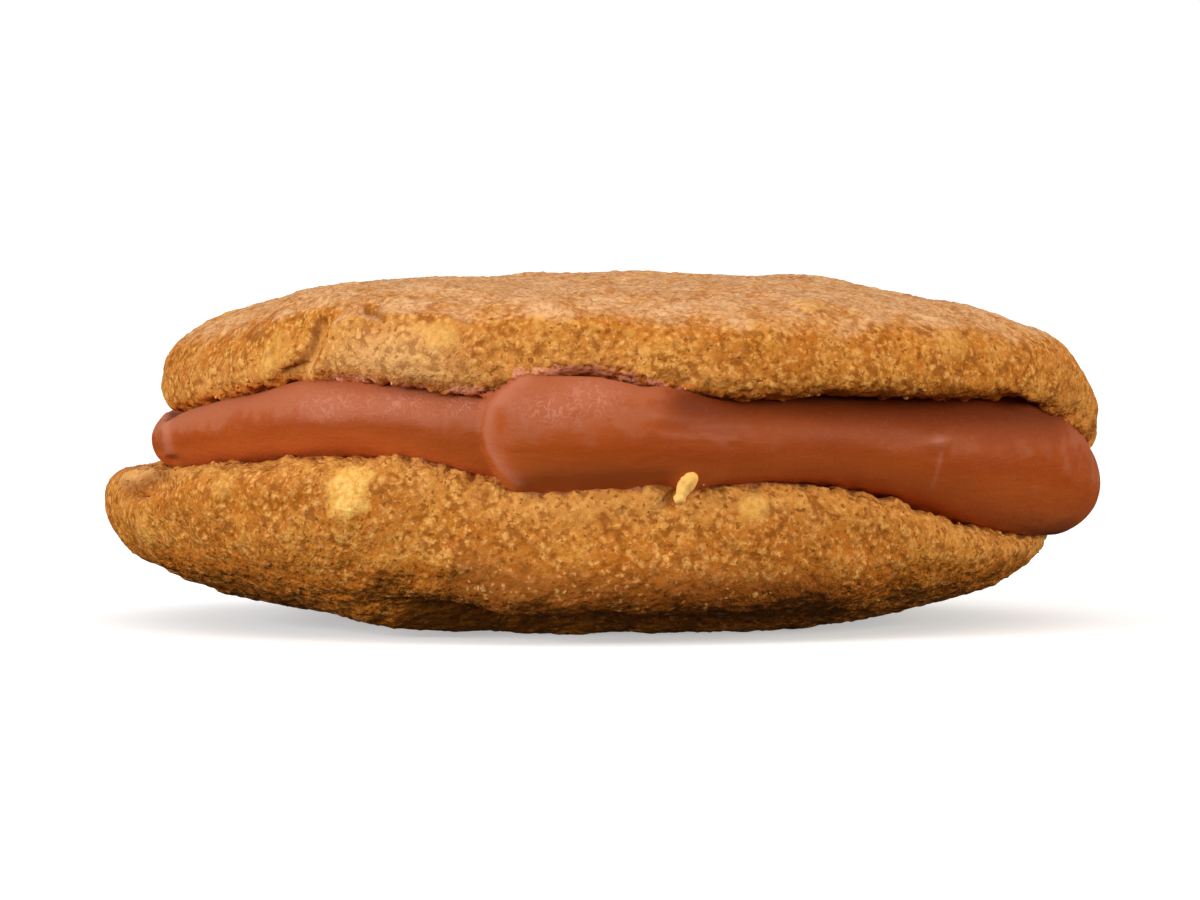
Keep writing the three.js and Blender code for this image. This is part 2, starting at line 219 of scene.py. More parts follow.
def stroke(piece, pixels, half_width, left_width=None, where=in_front):
    """A soft line drawn through pixels of the photo. It may fade faster to the left of its course."""
    places = photo_places(vertices_of(piece))
    nearest = np.full(len(places), np.inf)
    on_left = np.zeros(len(places), dtype=bool)
    for start, end in zip(np.array(pixels), np.array(pixels)[1:]):
        along = end - start
        offset = places - start
        share = np.clip(offset @ along / (along @ along), 0, 1)
        distance = np.linalg.norm(offset - share[:, None] * along, axis=1)
        closer = distance < nearest
        nearest[closer] = distance[closer]
        on_left[closer] = (along[0] * offset[:, 1] - along[1] * offset[:, 0] < 0)[closer]
    width = np.where(on_left, left_width or half_width, half_width)
    return np.exp(-((nearest * PIXEL / width) ** 2)) * where(piece)


# %% [markdown]
# ## The dough
#
# A baked cookie is lumpy at every scale: swells some millimetres wide, grains of crumb, and pits
# where bubbles broke. The frame's solid has the swells. It is rounded with a Subdivision Surface,
# because its facets would show, then turned into an even grid of small quads by a voxel Remesh. The
# flat side, which the cream hides, needs no fine grid, so Decimate thins it out.

# %% Rounding a copy of a solid
CRUMB_GRID = 0.3 * MM
DOUGH_SMOOTHING = 12
HIDDEN_RADIUS = 32.5 * MM
HIDDEN_LEFT = 0.06
FLAT_ENOUGH = 0.7


def rounded(piece, grid, smoothing):
    modify(piece, "SUBSURF", levels=2, render_levels=2)
    modify(piece, "REMESH", mode="VOXEL", voxel_size=grid)
    modify(piece, "SMOOTH", factor=0.5, iterations=smoothing)
    pick(piece)
    bpy.ops.object.shade_smooth()
    return piece


def middle_of(node):
    low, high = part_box(node)
    return (low + high) / 2


def thin_out(piece, hidden):
    """Merge the small faces of the hidden part of a piece into fewer large ones."""
    set_group(piece, "hidden", hidden.astype(float))
    modify(piece, "DECIMATE", ratio=1 - hidden.mean() * (1 - HIDDEN_LEFT), vertex_group="hidden")
    print(piece.name, len(piece.data.polygons), "faces")


def flat_side(piece, node, way):
    """The vertices of a flat side that faces up (way 1) or down (way -1), away from its rim."""
    offset = vertices_of(piece) - np.array(middle_of(node))
    inside = np.hypot(offset[:, 0], offset[:, 1]) < HIDDEN_RADIUS
    return inside & (way * normals_of(piece)[:, 2] > FLAT_ENOUGH)


top = rounded(copy_of("top_cookie", "oat_cookie_top"), CRUMB_GRID, DOUGH_SMOOTHING)
bottom = rounded(copy_of("bottom_cookie", "oat_cookie_bottom"), CRUMB_GRID, DOUGH_SMOOTHING)
thin_out(top, flat_side(top, "top_cookie", -1))
thin_out(bottom, flat_side(bottom, "bottom_cookie", 1))

# %% [markdown]
# ## Creases and dents
#
# The dough of the top cookie laps over itself at the front left: a raised lobe with a crease at its
# left and a small pit over it. Its crown swells a little on the left, and its lip hangs lower at the
# right-hand end. The bottom cookie has a dent beside its left-hand tip, with a ridge over it, and a wide
# crease at its foot, and its rim rises a little under the piped end of the cream. Each is a vertex
# group, most of them painted about pixels, pushed in or out by a Displace modifier that has no texture.
# The deep creases get painted shade and the parts that stand proud get painted light, so both are kept as
# attributes.

# %% Marks in the dough
CROWN_SWELL_X = -21 * MM
CROWN_SWELL_HALF = 10 * MM
CROWN_SWELL_FADE = (0.1, 0.7)
CROWN_SWELL_HEIGHT = 0.8 * MM
LOBE = (408, 374)
LOBE_HALF_SIZE = (8.0 * MM, 5.0 * MM)
LOBE_SQUARENESS = 3
LOBE_RIGHT_FADE = (520, 400)
LOBE_HEIGHT = 0.8 * MM
LOBE_CREASE = [(288, 371), (304, 364), (311, 350), (320, 322)]
LOBE_PIT = [(368, 310), (383, 318)]
END_LIP = [(1036, 399), (1060, 403), (1076, 413), (1087, 428)]
TIP_DENT = [(132, 490), (147, 482), (164, 474)]
TIP_RIDGE = [(128, 480), (145, 471), (163, 464)]
FOOT_CREASE = [(385, 590), (420, 580), (455, 590)]
PIPED_REST = [(500, 494), (540, 499), (600, 498), (660, 494)]


def lobe_weights(piece, outer, inner):
    """1 within a share of the lobe's half size, fading to 0 at a larger share of it."""
    places = photo_places(vertices_of(piece))
    offset = np.abs(places - np.array(LOBE)) * PIXEL / np.array(LOBE_HALF_SIZE)
    away = (offset**LOBE_SQUARENESS).sum(axis=1) ** (1 / LOBE_SQUARENESS)
    inside = smooth_step(away, outer, inner)
    return inside * smooth_step(places[:, 0], *LOBE_RIGHT_FADE) * in_front(piece)


crown_swell = np.exp(-(((vertices_of(top)[:, 0] - CROWN_SWELL_X) / CROWN_SWELL_HALF) ** 2))
crown_swell *= smooth_step(normals_of(top)[:, 2], *CROWN_SWELL_FADE)
press(top, "crown swell", crown_swell, CROWN_SWELL_HEIGHT, "Z")
press(top, "lobe", lobe_weights(top, outer=1.08, inner=0.88), LOBE_HEIGHT)
for piece, name, pixels, half_width, depth, direction in [
    (top, "lobe crease", LOBE_CREASE, 0.5 * MM, -0.8 * MM, "NORMAL"),
    (top, "lobe pit", LOBE_PIT, 0.35 * MM, -0.6 * MM, "NORMAL"),
    (top, "end lip", END_LIP, 1.3 * MM, -1.3 * MM, "Z"),
    (bottom, "tip dent", TIP_DENT, 0.8 * MM, -1.8 * MM, "NORMAL"),
    (bottom, "tip ridge", TIP_RIDGE, 0.5 * MM, 0.5 * MM, "NORMAL"),
    (bottom, "foot crease", FOOT_CREASE, 1.2 * MM, -0.3 * MM, "NORMAL"),
]:
    press(piece, name, stroke(piece, pixels, half_width), depth, direction)
piped_rest = stroke(bottom, PIPED_REST, 1.6 * MM, where=at_front_rim)
press(bottom, "piped rest", piped_rest, depth=0.9 * MM, direction="Z")
# painted shade along the creases and the pit, and painted light where the dough stands proud
top_crease_shade = [stroke(top, LOBE_CREASE, 0.4 * MM), stroke(top, LOBE_PIT, 0.3 * MM)]
set_attribute(top, "crease_shade", np.maximum(*top_crease_shade))
set_attribute(top, "proud_light", lobe_weights(top, outer=1.15, inner=0.4))
set_attribute(bottom, "crease_shade", 0.8 * stroke(bottom, TIP_DENT, 0.7 * MM))
set_attribute(bottom, "proud_light", stroke(bottom, TIP_RIDGE, 0.6 * MM))
print("lobe, creases, pit, dent, lip and rest pressed")

# %% [markdown]
# ## Where the oat flakes lie
#
# Oat flakes are pale ovals, half sunk in the dough. The solids carry them as low bumps, strewn by a
# seeded draw, and the same draw is repeated here, so that each bump gets an oat's colour. The few that
# show at the front are placed by their pixels, each with its turn, size and tone. Strewn flakes that face
# the camera lose their tone, so that only the placed ones show there. Smaller scraps of oat lie between
# them. A flake is stored on the mesh as a distance: 0 at its middle and 1 at its edge. The material
# turns that into a ragged edge that the dough partly covers.

# %% Flake places
COOKIE_RADIUS = 37.8 * MM
FLAKES_PER_COOKIE = 18
FLAKE_SPACING = 11 * MM
WELL_INSIDE = 0.9
COOKIES = {
    "top": {
        "piece": top,
        "node": "top_cookie",
        "up": 1,
        "crown_rise": 5 * MM,
        "seed": 77,
        "reach": (0.1, 0.95),
        "front": [(246, 0.8), (314, 0.78), (222, 0.85)],
    },
    "bottom": {
        "piece": bottom,
        "node": "bottom_cookie",
        "up": -1,
        "crown_rise": 5.25 * MM,
        "seed": 161,
        "reach": (0.62, 0.95),
        "front": [(243, 0.96), (292, 0.97), (223, 0.94)],
    },
}
WORD = 0xFFFFFFFF


def chance(seed):
    """The same repeatable stream of numbers from 0 to 1 as the solids were strewn with."""
    state = seed
    while True:
        state = (state + 0x6D2B79F5) & WORD
        mixed = ((state ^ (state >> 15)) * (1 | state)) & WORD
        mixed = ((mixed + (((mixed ^ (mixed >> 7)) * (61 | mixed)) & WORD)) ^ mixed) & WORD
        yield (mixed ^ (mixed >> 14)) / 2**32


def round_at(bearing, out):
    return Vector((out * math.cos(math.radians(bearing)), out * math.sin(math.radians(bearing)), 0))


def strewn_flakes(cookie):
    """Bearing, reach and turn of the flakes that the solid's seeded draw strews over a crown."""
    draw = chance(cookie["seed"])
    low, high = cookie["reach"]
    unrolled = COOKIE_RADIUS + cookie["crown_rise"]
    taken = [round_at(bearing, reach * unrolled) for bearing, reach in cookie["front"]]
    flakes = []
    while len(taken) < FLAKES_PER_COOKIE:
        reach = low + (high - low) * math.sqrt(next(draw))
        bearing = 360 * next(draw)
        turn = 180 * next(draw)
        here = round_at(bearing, reach * unrolled)
        if all((other - here).length > FLAKE_SPACING for other in taken):
            taken.append(here)
            flakes.append((bearing, reach, turn))
    return flakes


def on_crown(cookie, bearing, reach):
    """The place on a cookie's crown at a bearing and reach, and the way its skin faces there."""
    piece = cookie["piece"]
    across = math.sin(math.pi / 2 * reach)
    lean = across**3
    outward = round_at(bearing, lean) + Vector((0, 0, cookie["up"] * math.sqrt(1 - lean**2)))
    inside = middle_of(cookie["node"]) + round_at(bearing, WELL_INSIDE * COOKIE_RADIUS * across)
    far = Vector((0, 0, CAMERA_DISTANCE))
    over = piece.ray_cast(inside + far, -far)[1]
    under = piece.ray_cast(inside - far, far)[1]
    inside.z = (over.z + under.z) / 2
    _, place, facing, _ = piece.ray_cast(inside + CAMERA_DISTANCE * outward, -outward)
    return place, facing


# %% Flakes as distances on the mesh
FLAKE_HALF_LENGTH = 2.2 * MM
FLAKE_HALF_WIDTH = 1.6 * MM
FLAKE_DEPTH = 2 * MM
FLAKE_SEED = 5
STREWN_SIZES = (0.8, 1)
STREWN_TONES = (0.1, 0.45)
STREWN_FADE = (-0.9, -0.1)
SCRAPS = 40
SCRAP_NEAREST = 0.15
SCRAP_SPREAD = 0.82
SCRAP_SIZES = (0.14, 0.3)
SCRAP_TONES = (0.1, 0.5)
FAR_OFF = 4.0
FLAKE_EDGE = (0.6, 1.05)
DOUGH_EDGE = (0.7, 1.1)
SHOWN_FLAKES = {
    "top": [((440, 336), 0, 0.8, 0.45), ((955, 345), 10, 0.8, 0.25), ((275, 352), 60, 1.0, 0.3)],
    "bottom": [((348, 492), 70, 1.15, 1.0), ((755, 505), 40, 0.7, 0.6), ((222, 484), 30, 0.7, 0.3)],
}


def flakes_on(side, seed):
    """Each flake as a place, the way it faces, its turn, its size and its tone."""
    cookie = COOKIES[side]
    draw = random.Random(seed)
    flakes = []
    for pixel, turn, size, tone in SHOWN_FLAKES[side]:
        flakes.append((*seen_at(cookie["piece"], pixel), turn, size, tone))
    for bearing, reach, turn in strewn_flakes(cookie):
        place, facing = on_crown(cookie, bearing, reach)
        tone = draw.uniform(*STREWN_TONES) * smooth_step(facing.dot(ahead), *STREWN_FADE)
        flakes.append((place, facing, turn, draw.uniform(*STREWN_SIZES), tone))
    for _ in range(SCRAPS):
        bearing = 360 * draw.random()
        reach = SCRAP_NEAREST + SCRAP_SPREAD * math.sqrt(draw.random())
        place, facing = on_crown(cookie, bearing, reach)
        turn = 180 * draw.random()
        flakes.append((place, facing, turn, draw.uniform(*SCRAP_SIZES), draw.uniform(*SCRAP_TONES)))
    return flakes


def flake_fields(piece, flakes):
    """The least distance from each vertex to a flake, in flake sizes, and that flake's tone."""
    points = vertices_of(piece)
    nearest = np.full(len(points), FAR_OFF)
    tones = np.zeros(len(points))
    for place, facing, turn, size, tone in flakes:
        level = Vector((0, 0, 1)).cross(facing).normalized()
        steep = facing.cross(level)
        along = level * math.cos(math.radians(turn)) + steep * math.sin(math.radians(turn))
        across = facing.cross(along)
        offset = points - np.array(place)
        distance = np.sqrt(
            (offset @ np.array(along) / (FLAKE_HALF_LENGTH * size)) ** 2
            + (offset @ np.array(across) / (FLAKE_HALF_WIDTH * size)) ** 2
            + (offset @ np.array(facing) / FLAKE_DEPTH) ** 2
        )
        closer = distance < nearest
        nearest[closer] = distance[closer]
        tones[closer] = tone
    return nearest, tones


for seed, (side, cookie) in enumerate(COOKIES.items(), start=FLAKE_SEED):
    piece = cookie["piece"]
    nearest, tones = flake_fields(piece, flakes_on(side, seed))
    set_attribute(piece, "flake_distance", nearest)
    set_attribute(piece, "flake_tone", tones)
    flat = flat_side(piece, cookie["node"], -cookie["up"])
    set_group(piece, "flakes", (1 - smooth_step(nearest, *FLAKE_EDGE)) * tones)
    set_group(piece, "dough", (1 - tones * (1 - smooth_step(nearest, *DOUGH_EDGE))) * ~flat)
    print(piece.name, "flake vertices", int((nearest < 1).sum()))

# %% [markdown]
# ## The crumb
#
# Displace modifiers push the fine grid in and out by cloud and cell textures, from coarse to fine:
# swells, crags, the round grains of the crumb, pits where bubbles broke, and last the finest crumbs.
# The pits come from a cloud texture whose colour ramp leaves only its darkest spots. How far each
# vertex moved is kept as an attribute, so that the material paints light onto the tops of the relief
# and shade into its dips. Last, whatever of the bottom cookie would sink below the table is lifted up to
# it.


# %% Crumb relief
def texture_of(kind, grain, **settings):
    texture = bpy.data.textures.new(f"{kind.lower()} {grain / MM:.2f} mm", kind)
    texture.noise_scale = grain
    for name, value in settings.items():
        setattr(texture, name, value)
    return texture


def only_dark_spots(texture, dark, light):
    texture.use_color_ramp = True
    first, last = texture.color_ramp.elements
    first.position = dark
    first.color = (0, 0, 0, 1)
    last.position = light
    last.color = (1, 1, 1, 1)
    return texture


SWELLS = texture_of("CLOUDS", 5 * MM, noise_depth=1)
SWELL_DEPTH = 0.5 * MM
CRUMB_LAYERS = [
    (texture_of("CLOUDS", 2.6 * MM, noise_depth=2), 0.46 * MM, 0.5),
    (texture_of("VORONOI", 0.9 * MM), -0.14 * MM, 0.5),
    (only_dark_spots(texture_of("CLOUDS", 0.6 * MM, noise_depth=2), 0.3, 0.4), 0.14 * MM, 1),
    (texture_of("CLOUDS", 0.55 * MM, noise_depth=2), 0.24 * MM, 0.5),
]
FLAKE_PROUD = 0.22 * MM


def displace(piece, texture, depth, mid_level=0.5, group=""):
    """Push a piece's skin in and out by a texture, all over or by the weights of a vertex group."""
    modify(
        piece,
        "DISPLACE",
        texture=texture,
        texture_coords="LOCAL",
        strength=depth,
        mid_level=mid_level,
        vertex_group=group,
    )


def bake_crumb(piece):
    displace(piece, SWELLS, SWELL_DEPTH, group="dough")
    before = vertices_of(piece)
    facing = normals_of(piece)
    set_attribute(piece, "upward", facing[:, 2])
    for texture, depth, mid_level in CRUMB_LAYERS:
        displace(piece, texture, depth, mid_level, "dough")
    modify(piece, "DISPLACE", strength=FLAKE_PROUD, mid_level=0, vertex_group="flakes")
    relief = ((vertices_of(piece) - before) * facing).sum(axis=1)
    set_attribute(piece, "relief", relief / MM)
    low, middle, high = np.percentile(relief / MM, [2, 50, 98])
    print(f"{piece.name} relief {low:.2f}, {middle:.2f}, {high:.2f} mm")


def rest_on_table(piece):
    points = vertices_of(piece)
    points[:, 2] = np.maximum(points[:, 2], 0)
    piece.data.vertices.foreach_set("co", points.ravel())
    piece.data.update()


bake_crumb(top)
bake_crumb(bottom)
rest_on_table(bottom)

# %% [markdown]
# ## The cream
#
# The filling is a thick smooth cream, piped in a ring and pressed between the cookies. Its solid has
# the ring, the lapped end and the bulge at the right. The copy is swollen until it meets the cookies.
# Then it gets its marks, pressed in or out as in the dough: the crisp nose of the piped end with its
# flattened back and belly, and the fold, the notch, the lump and the streaks that spreading left.
# Where a mark should melt into what lies beside it, a Smooth modifier works on its vertex group.

# %% Cream body
CREAM_GRID = 0.26 * MM
CREAM_SMOOTHING = 7
CREAM_SWELL = 0.42 * MM
CREAM_WAVES = texture_of("CLOUDS", 4 * MM, noise_depth=1)
WAVE_DEPTH = 0.2 * MM

cream = rounded(copy_of("cream_filling", "cream"), CREAM_GRID, CREAM_SMOOTHING)
thin_out(cream, flat_side(cream, "cream_filling", 1) | flat_side(cream, "cream_filling", -1))
modify(cream, "DISPLACE", strength=CREAM_SWELL, mid_level=0)
displace(cream, CREAM_WAVES, WAVE_DEPTH)

# %% Marks in the cream
PIPED_NOSE = (474, 432)
NOSE_CONTOUR = [(517, 484), (500, 469), (489, 450), (485, 430), (489, 411), (502, 393), (522, 378)]
PIPED_TAIL = (700, 405)
PIPED_FOOT = [(395, 463), (440, 465), (475, 472), (500, 482), (515, 488)]
NOSE_CORNER = (503, 386)
NOSE_TUCK = (494, 389)
PIPED_BACK = [(505, 374), (545, 364), (600, 367), (640, 377)]
PIPED_BELLY = [(500, 490), (540, 498), (600, 497), (660, 493)]
PIPED_WIDTH = 1.5 * MM
END_FOLD = [(170, 401), (165, 425), (169, 452)]
END_NOTCH = (170, 463)
SPREAD_STREAKS = [
    [(655, 417), (702, 421)],
    [(690, 428), (748, 425)],
    [(662, 436), (735, 439)],
    [(700, 434), (724, 446)],
]
STREAK_WIDTH = 0.25 * MM
DRIP_LUMP = (939, 441)
DRIP_TRAIL = [(942, 452), (938, 470), (932, 488)]
LIP_GAP = [(690, 402), (800, 406), (900, 409), (1000, 410), (1050, 414)]


def melt(piece, name, weights, rounds):
    """Smooth a piece's skin, round after round, where the weights say."""
    set_group(piece, name, weights)
    modify(piece, "SMOOTH", factor=0.5, iterations=rounds, vertex_group=name)
    piece.vertex_groups.remove(piece.vertex_groups[name])


melt(cream, "tail", spot(cream, PIPED_TAIL, 4 * MM, 2.5 * MM), rounds=40)
press(cream, "piped nose", spot(cream, PIPED_NOSE, 2.4 * MM, 6 * MM), depth=1.2 * MM, direction="X")
for name, pixels, depth, direction in [
    ("piped back", PIPED_BACK, -0.65 * MM, "Z"),
    ("piped belly", PIPED_BELLY, 1.4 * MM, "Y"),
]:
    press(cream, name, stroke(cream, pixels, PIPED_WIDTH, where=at_front_rim), depth, direction)
press(cream, "nose contour", stroke(cream, NOSE_CONTOUR, 1.6 * MM, 0.3 * MM), depth=0.45 * MM)
melt(cream, "nose corner", spot(cream, NOSE_CORNER, 1.8 * MM, 1.3 * MM), rounds=15)
press(cream, "nose tuck", spot(cream, NOSE_TUCK, 1.4 * MM, 0.7 * MM), depth=0.7 * MM, direction="Y")
press(cream, "piped foot", stroke(cream, PIPED_FOOT, 0.8 * MM), depth=0.3 * MM)
press(cream, "end fold", stroke(cream, END_FOLD, 0.45 * MM), depth=0.3 * MM)
press(cream, "end notch", spot(cream, END_NOTCH, 1.1 * MM, 0.5 * MM), depth=-0.35 * MM)
press(cream, "drip lump", spot(cream, DRIP_LUMP, 0.9 * MM, 0.6 * MM), depth=0.5 * MM)
for streak in SPREAD_STREAKS:
    press(cream, "streak", stroke(cream, streak, STREAK_WIDTH), depth=0.06 * MM)
print("nose, fold, notch, lump and streaks pressed")

# %% [markdown]
# ## Marks that only colour shows
#
# The upper side of the cream has a dull bloom with fine wrinkles, the contour of its nose gets a painted
# highlight, and its fold, its streaks and the lump with the trail below it are pale. A painted shadow
# lies under the lip of the top cookie. The cookies are stained where they touch the cream, and smears of
# it stick to the lip above. Bloom, the highlight, the pale marks, the shadow and the smears are painted
# as spots and strokes, with sizes in millimetres, and the stain goes by the distance from each vertex of
# a cookie to the cream. All are kept as attributes for the materials. So is the share by which the cream
# faces upwards, which paints a sheen of light on its upper side and a warm glow on its lower side.

# %% Attributes for the finishes
BLOOM_SPOTS = [
    ((592, 398), 2.4, 1.6),
    ((556, 408), 3.0, 1.3),
    ((330, 404), 3.0, 1.2),
    ((400, 404), 4.0, 1.0),
    ((460, 406), 2.0, 0.9),
]
STREAK_SHARE = 0.35
LUMP_SHARE = 1.6
TRAIL_SHARE = 0.8
STAIN_REACH = 5 * MM
SMEAR_LINES = [
    ([(518, 374), (545, 369), (600, 371), (650, 384), (690, 397)], 0.45),
    ([(336, 377), (374, 379)], 0.25),
    ([(390, 385), (424, 388)], 0.25),
    ([(450, 390), (482, 391)], 0.3),
]

bloom = np.max([spot(cream, pixel, wide * MM, high * MM) for pixel, wide, high in BLOOM_SPOTS], axis=0)
# painted highlight along the contour of the nose; the fold, lump, trail and streaks are pale
highlights_and_pale_marks = [
    stroke(cream, NOSE_CONTOUR, 0.7 * MM, 0.2 * MM),
    stroke(cream, END_FOLD, 0.4 * MM),
    LUMP_SHARE * spot(cream, DRIP_LUMP, 0.8 * MM, 0.5 * MM),
    TRAIL_SHARE * stroke(cream, DRIP_TRAIL, 0.15 * MM),
]
highlights_and_pale_marks += [STREAK_SHARE * stroke(cream, streak, STREAK_WIDTH) for streak in SPREAD_STREAKS]
set_attribute(cream, "bloom", bloom)
set_attribute(cream, "edge_highlight_and_pale_marks", np.max(highlights_and_pale_marks, axis=0))
# painted shadow under the lip of the top cookie
set_attribute(cream, "lip_shade", stroke(cream, LIP_GAP, 1.8 * MM))
# the upward share paints a sheen of light on the upper side and a warm glow on the lower side
set_attribute(cream, "upward", normals_of(cream)[:, 2])

cream_skin = BVHTree.FromObject(cream, bpy.context.evaluated_depsgraph_get())
smudges = {
    top: np.max([stroke(top, line, wide * MM) for line, wide in SMEAR_LINES], axis=0),
    bottom: np.zeros(len(bottom.data.vertices)),
}
cream_distances = {}
for cookie in (top, bottom):
    found = [cream_skin.find_nearest(vertex.co, STAIN_REACH)[3] for vertex in cookie.data.vertices]
    distances = np.array([STAIN_REACH if far is None else far for far in found])
    cream_distances[cookie] = distances
    set_attribute(cookie, "cream_distance", distances / MM)
    set_attribute(cookie, "smudge", smudges[cookie])
print("bloom vertices", int((bloom > 0.5).sum()))

# %% [markdown]
# ## Crumbled lips
#
# A soft cookie crumbles where the cream pulls at it, so a cloud texture roughens both lips beside the
# cream, less where a smear covers them. Two more marks for the materials follow: the crown of the top
# cookie gets dust and a painted sheen, and the bottom cookie gets painted shade low at the front.

# %% Lips, dust, sheen and painted shade
LIP_CRUMBLE = texture_of("CLOUDS", 1.2 * MM, noise_depth=2)
LIP_WIDTH = 1.3 * MM
LIP_DEPTH = 1.3 * MM
LIP_MIDDLE = 0.45
SMEAR_CALM = 0.75
LOWER_FRONT = [(470, 582), (560, 594), (640, 600), (740, 594), (820, 596)]

for cookie, distances in cream_distances.items():
    near_cream = np.exp(-((distances / LIP_WIDTH) ** 2))
    set_group(cookie, "lip", near_cream * (1 - SMEAR_CALM * smudges[cookie]))
    displace(cookie, LIP_CRUMBLE, LIP_DEPTH, LIP_MIDDLE, "lip")
# the crown of the top cookie gets dust and a painted sheen of light from above
set_attribute(top, "dust_and_sheen", np.ones(len(top.data.vertices)))
set_attribute(bottom, "dust_and_sheen", np.zeros(len(bottom.data.vertices)))
# painted shade low at the front of the bottom cookie
set_attribute(top, "painted_low_shade", np.zeros(len(top.data.vertices)))
set_attribute(bottom, "painted_low_shade", stroke(bottom, LOWER_FRONT, 2.2 * MM))
print("lip vertices", [int((distances < LIP_WIDTH).sum()) for distances in cream_distances.values()])

# %% [markdown]
# ## Crumbs and a sliver of oat
#
# Roughened balls of dough sit on both lips beside the cream, each of its own size and turn, and two
# stick to the cream. At the front one sliver of oat stands up from the edge of the bottom cookie: a few
# balls in a row, melted together by a voxel Remesh.

# %% Crumbs
CRUMB_SEED = 8
CRUMBS_PER_LIP = 60
CRUMB_SIZES = (0.08 * MM, 0.22 * MM)
CRUMB_STRETCH = (0.7, 1.3)
CRUMB_REACH = (0.2 * MM, 1.5 * MM)
CRUMB_ROUGH = texture_of("CLOUDS", 0.25 * MM, noise_depth=1)
CRUMB_ROUGH_DEPTH = 0.2 * MM
SHOWN_CRUMBS = [(703, 485), (846, 493)]


def loose_crumb(place, size, draw):
    turn = [draw.uniform(0, math.tau) for _ in range(3)]
    stretch = [size * draw.uniform(*CRUMB_STRETCH) for _ in range(3)]
    bpy.ops.mesh.primitive_ico_sphere_add(subdivisions=1, location=place, rotation=turn, scale=stretch)
    return bpy.context.object


def beside_cream(cookie, draw):
    """Places strewn along the lip of a cookie, close to the cream."""
    near, far = CRUMB_REACH
    lip = np.nonzero((cream_distances[cookie] > near) & (cream_distances[cookie] < far))[0]
    return [cookie.data.vertices[index].co.copy() for index in draw.sample(lip.tolist(), CRUMBS_PER_LIP)]


crumb_draw = random.Random(CRUMB_SEED)
crumb_places = [seen_at(cream, pixel)[0] for pixel in SHOWN_CRUMBS]
crumb_places += beside_cream(top, crumb_draw) + beside_cream(bottom, crumb_draw)
loose = [loose_crumb(place, crumb_draw.uniform(*CRUMB_SIZES), crumb_draw) for place in crumb_places]
pick(*loose)
bpy.ops.object.join()
crumbs = bpy.context.object
crumbs.name = "crumbs"
bpy.ops.object.transform_apply(location=True, rotation=True, scale=True)
displace(crumbs, CRUMB_ROUGH, CRUMB_ROUGH_DEPTH)
bpy.ops.object.shade_smooth()
print("crumbs", len(crumb_places), "with", len(crumbs.data.polygons), "faces")

# %% Sliver of oat
SLIVER_FOOT = (679, 499)
SLIVER_BALLS = [
    ((680, 498), 0.5 * MM),
    ((682, 491), 0.55 * MM),
    ((685, 486), 0.65 * MM),
    ((688, 481), 0.75 * MM),
]
SLIVER_GRID = 0.12 * MM
SLIVER_PROUD = 0.9 * MM
SLIVER_ROUGH = texture_of("CLOUDS", 0.7 * MM, noise_depth=2)
SLIVER_ROUGH_DEPTH = 0.35 * MM

foot = seen_at(bottom, SLIVER_FOOT)[0] - ahead * SLIVER_PROUD
balls = []
for (column, row), radius in SLIVER_BALLS:
    offset = right * (column - SLIVER_FOOT[0]) - above * (row - SLIVER_FOOT[1])
    place = foot + offset * PIXEL
    bpy.ops.mesh.primitive_uv_sphere_add(segments=16, ring_count=8, radius=radius, location=place)
    balls.append(bpy.context.object)
pick(*balls)
bpy.ops.object.join()
sliver = bpy.context.object
sliver.name = "oat_sliver"
bpy.ops.object.transform_apply(location=True, rotation=True, scale=True)
modify(sliver, "REMESH", mode="VOXEL", voxel_size=SLIVER_GRID)
modify(sliver, "SMOOTH", factor=0.5, iterations=2)
displace(sliver, SLIVER_ROUGH, SLIVER_ROUGH_DEPTH)
bpy.ops.object.shade_smooth()
print("sliver with", len(sliver.data.polygons), "faces")

# %% [markdown]
# ## Finishes
#
# Each finish is a node tree that reads Object coordinates scaled to millimetres, so a noise of scale
# 2 has two grains to the millimetre. A small builder keeps the trees short: it adds a node, sets its
# values and links its inputs. A ramp runs smoothly from one share to another while a value goes from a
# low to a high limit, and a mix lays a second colour over the first by a share.


